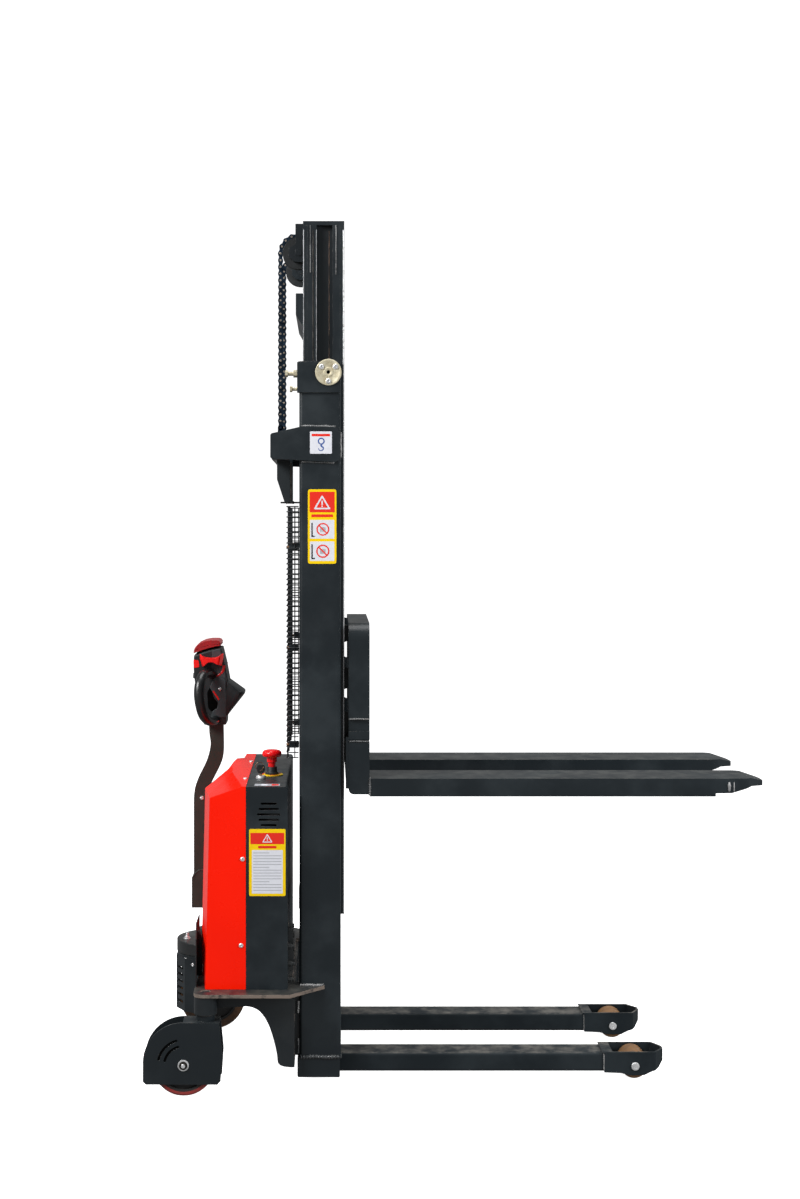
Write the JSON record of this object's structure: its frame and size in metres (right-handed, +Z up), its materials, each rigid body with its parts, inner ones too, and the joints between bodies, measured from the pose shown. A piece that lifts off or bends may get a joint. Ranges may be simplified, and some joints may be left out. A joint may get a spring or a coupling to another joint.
{
  "type": "walkie stacker",
  "caption": "Battery walkie stacker with a two-stage mast, over-riding forks on straddle legs, red and black hood, offset tiller with loop grips, drive wheel and guarded castor.",
  "frame": {"origin": "on the floor under the middle of the overall box", "axes": "+X towards the fork tips, +Y to the operator's left, +Z up"},
  "size_m": [1.792, 0.873, 2.496],
  "materials": {
    "mast_paint": "satin blue-black paint",
    "drive_paint": "satin black paint",
    "arm_paint": "satin brownish black paint",
    "red_cover": "glossy red-orange paint",
    "yellow_zinc": "yellow zinc plate",
    "bright_steel": "bright zinc plate",
    "guard_wire": "black coated wire",
    "ram_chrome": "ground chrome",
    "roller_steel": "oiled turned steel",
    "chain_steel": "blued steel",
    "wheel_urethane": "brown polyurethane",
    "castor_urethane": "red polyurethane",
    "cast_hub": "painted casting",
    "head_plastic": "fine texture",
    "belly_plastic": "dark red gloss",
    "lever_plastic": "bright red gloss",
    "button_plastic": "grey",
    "estop_plastic": "red gloss",
    "battery_case": "moulded case"
  },
  "bodies": {
    "chassis": {"outer_channel_right": "mast_paint", "outer_channel_left": "mast_paint", "mast_foot": "mast_paint", "roller_flanges": "yellow_zinc", "adjuster_bolts": "yellow_zinc", "chain_anchor_frame": "mast_paint", "chain_anchor_rods": "bright_steel", "mesh_guard": "guard_wire", "guard_clips": "mast_paint", "lift_barrel": "mast_paint", "chain_rear_runs": "chain_steel", "straddle_leg_right": "mast_paint", "straddle_leg_left": "mast_paint", "load_axles": "bright_steel", "chassis_plate": "mast_paint", "drive_mount": "mast_paint", "foot_guard": "mast_paint", "hood_cabinet": "mast_paint", "hood_cover": "red_cover", "hood_screws": "bright_steel", "rear_kick_plate": "drive_paint", "hood_switches": "head_plastic", "battery_pack": "battery_case", "hydraulic_unit": "drive_paint", "motor_controller": "battery_case", "hydraulic_pipe": "roller_steel"},
    "inner_mast": {"lift_ram": "ram_chrome", "inner_beam_right": "mast_paint", "inner_beam_left": "mast_paint", "inner_crossbars": "mast_paint", "sheave_brackets": "mast_paint", "chain_front_runs": "chain_steel", "chain_wraps": "chain_steel"},
    "sheaves": {"chain_sheaves": "roller_steel"},
    "top_rollers": {"mast_rollers_top": "roller_steel"},
    "low_rollers": {"mast_rollers_low": "roller_steel"},
    "carriage": {"fork_carriage": "mast_paint", "fork_right": "mast_paint", "fork_left": "mast_paint"},
    "carriage_upper_rollers": {"carriage_rollers_upper": "roller_steel"},
    "carriage_lower_rollers": {"carriage_rollers_lower": "roller_steel"},
    "load_wheel_right_body": {"load_wheel_right": "wheel_urethane"},
    "load_wheel_left_body": {"load_wheel_left": "wheel_urethane"},
    "steered_unit": {"drive_unit": "drive_paint", "drive_cap_bolt": "bright_steel"},
    "drive_wheel": {"drive_tyre": "wheel_urethane", "drive_hub": "cast_hub"},
    "tiller": {"tiller_arm": "arm_paint", "tiller_head": "head_plastic"},
    "belly_switch_body": {"belly_switch": "belly_plastic"},
    "thumb_lever_body": {"thumb_levers": "lever_plastic"},
    "horn_body": {"horn_button": "lever_plastic"},
    "lift_button_body": {"lift_button": "button_plastic"},
    "lower_button_body": {"lower_button": "button_plastic"},
    "castor_swivel_body": {"castor_fork": "mast_paint", "castor_axle": "bright_steel"},
    "castor_wheel": {"castor_tyre": "castor_urethane", "castor_hub": "cast_hub"},
    "estop_body": {"estop_button": "estop_plastic"},
    "key_body": {"ignition_key": "head_plastic"}
  },
  "joints": [
    {"name": "mast_lift", "type": "slide", "parent": "chassis", "child": "inner_mast", "axis": [0, 0, 1], "range_m": [-0.394, 0.985], "deforming": ["chain_rear_runs"]},
    {"name": "carriage_lift", "type": "slide", "parent": "inner_mast", "child": "carriage", "axis": [0, 0, 1], "range_m": [-0.394, 0.985], "deforming": ["chain_front_runs"]},
    {"name": "sheave_spin", "type": "hinge", "parent": "inner_mast", "child": "sheaves", "pos_m": [-0.461, -0.0225, 2.412], "axis": [0, 1, 0], "continuous": true},
    {"name": "top_roller_spin", "type": "hinge", "parent": "chassis", "child": "top_rollers", "pos_m": [-0.375, -0.0225, 2.052], "axis": [0, 1, 0], "continuous": true},
    {"name": "low_roller_spin", "type": "hinge", "parent": "inner_mast", "child": "low_rollers", "pos_m": [-0.397, -0.0225, 0.544], "axis": [0, 1, 0], "continuous": true},
    {"name": "carriage_upper_roller_spin", "type": "hinge", "parent": "carriage", "child": "carriage_upper_rollers", "pos_m": [-0.387, -0.0225, 1.31], "axis": [0, 1, 0], "continuous": true},
    {"name": "carriage_lower_roller_spin", "type": "hinge", "parent": "carriage", "child": "carriage_lower_rollers", "pos_m": [-0.387, -0.0225, 0.96], "axis": [0, 1, 0], "continuous": true},
    {"name": "load_wheel_right_spin", "type": "hinge", "parent": "chassis", "child": "load_wheel_right_body", "pos_m": [0.519, -0.2225, 0.04], "axis": [0, 1, 0], "continuous": true},
    {"name": "load_wheel_left_spin", "type": "hinge", "parent": "chassis", "child": "load_wheel_left_body", "pos_m": [0.519, 0.1775, 0.04], "axis": [0, 1, 0], "continuous": true},
    {"name": "steer", "type": "hinge", "parent": "chassis", "child": "steered_unit", "pos_m": [-0.745, 0.2665, 0.25], "axis": [0, 0, 1], "range_deg": [-70, 70]},
    {"name": "drive_wheel_spin", "type": "hinge", "parent": "steered_unit", "child": "drive_wheel", "pos_m": [-0.745, 0.2665, 0.105], "axis": [0, 1, 0], "continuous": true},
    {"name": "tiller_tilt", "type": "hinge", "parent": "steered_unit", "child": "tiller", "pos_m": [-0.747, 0.2665, 0.44], "axis": [0, -1, 0], "range_deg": [0, 75], "stiffness_Nm_per_rad": 40, "springref_deg": -57.3},
    {"name": "belly_switch_press", "type": "slide", "parent": "tiller", "child": "belly_switch_body", "axis": [0.3057, 0, -0.9521], "range_m": [0, 0.004], "stiffness_N_per_m": 1500, "springref_m": -0.004},
    {"name": "thumb_lever_turn", "type": "hinge", "parent": "tiller", "child": "thumb_lever_body", "pos_m": [-0.745, 0.2665, 1.18], "axis": [0, 1, 0], "range_deg": [-25, 25], "stiffness_Nm_per_rad": 0.8},
    {"name": "horn_press", "type": "slide", "parent": "tiller", "child": "horn_body", "axis": [1, 0, 0], "range_m": [0, 0.003], "stiffness_N_per_m": 400, "springref_m": -0.001},
    {"name": "lift_button_press", "type": "slide", "parent": "tiller", "child": "lift_button_body", "axis": [1, 0, 0], "range_m": [0, 0.003], "stiffness_N_per_m": 400, "springref_m": -0.001},
    {"name": "lower_button_press", "type": "slide", "parent": "tiller", "child": "lower_button_body", "axis": [1, 0, 0], "range_m": [0, 0.003], "stiffness_N_per_m": 400, "springref_m": -0.001},
    {"name": "castor_swivel", "type": "hinge", "parent": "chassis", "child": "castor_swivel_body", "pos_m": [-0.722, -0.3915, 0.24], "axis": [0, 0, 1], "continuous": true},
    {"name": "castor_wheel_spin", "type": "hinge", "parent": "castor_swivel_body", "child": "castor_wheel", "pos_m": [-0.782, -0.3915, 0.09], "axis": [0, 1, 0], "continuous": true},
    {"name": "estop_press", "type": "slide", "parent": "chassis", "child": "estop_body", "axis": [0, 0, -1], "range_m": [0, 0.006]},
    {"name": "key_turn", "type": "hinge", "parent": "chassis", "child": "key_body", "pos_m": [-0.572, -0.2125, 0.88], "axis": [0, 0, 1], "range_deg": [0, 60]}
  ],
  "couplings": [
    {"joint": "carriage_lift", "follows": "mast_lift", "ratio": 1},
    {"joint": "sheave_spin", "follows": "mast_lift", "rad_per_m": -18.868},
    {"joint": "top_roller_spin", "follows": "mast_lift", "rad_per_m": -28.011},
    {"joint": "low_roller_spin", "follows": "mast_lift", "rad_per_m": -21.053},
    {"joint": "carriage_upper_roller_spin", "follows": "mast_lift", "rad_per_m": 21.053},
    {"joint": "carriage_lower_roller_spin", "follows": "mast_lift", "rad_per_m": -21.053}
  ]
}
